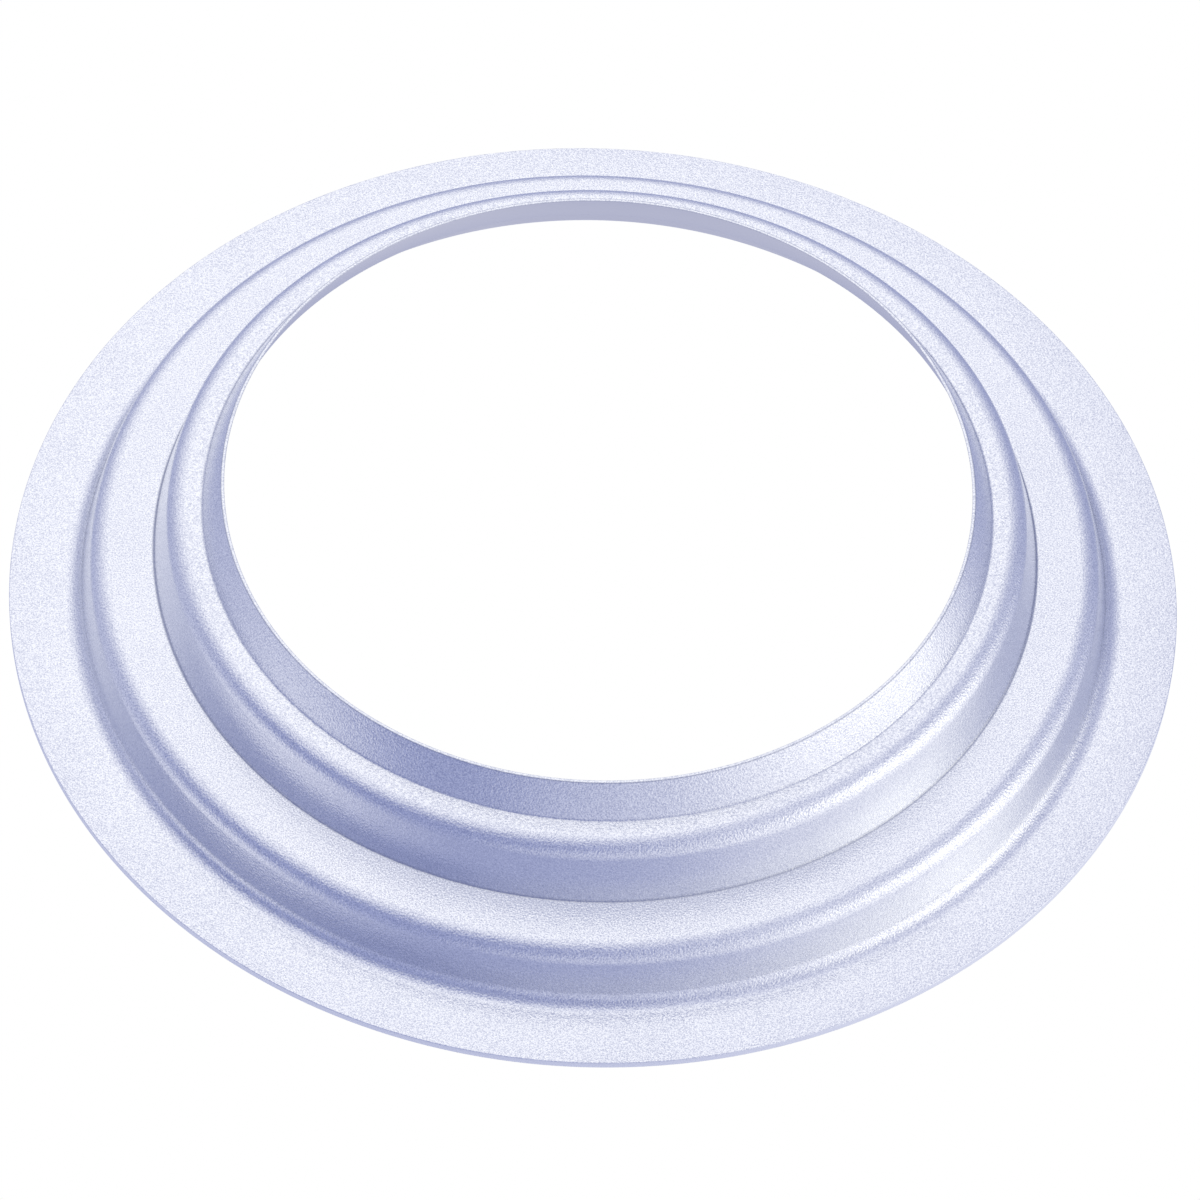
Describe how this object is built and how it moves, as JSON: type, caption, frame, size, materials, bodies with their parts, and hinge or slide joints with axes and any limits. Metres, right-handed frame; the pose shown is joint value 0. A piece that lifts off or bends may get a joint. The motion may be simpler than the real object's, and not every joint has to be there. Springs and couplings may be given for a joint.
{
  "type": "stepped mount adapter ring",
  "caption": "One-piece pressed metal ring with a flat flange, two raised steps and a conical collar round a large open hole, for seating a light modifier on a studio light.",
  "frame": {"origin": "centre of the ring on the plane of the flange's underside, which is the face it rests on", "axes": "+Z along the ring's axis, from the flange towards the collar's rim; the ring is the same all round Z"},
  "size_m": [0.152, 0.152, 0.0218],
  "materials": {
    "blasted_aluminium": "fine bead-blasted satin with a cool silver tone"
  },
  "bodies": {
    "root": {"adapter_ring": "blasted_aluminium"}
  },
  "joints": []
}
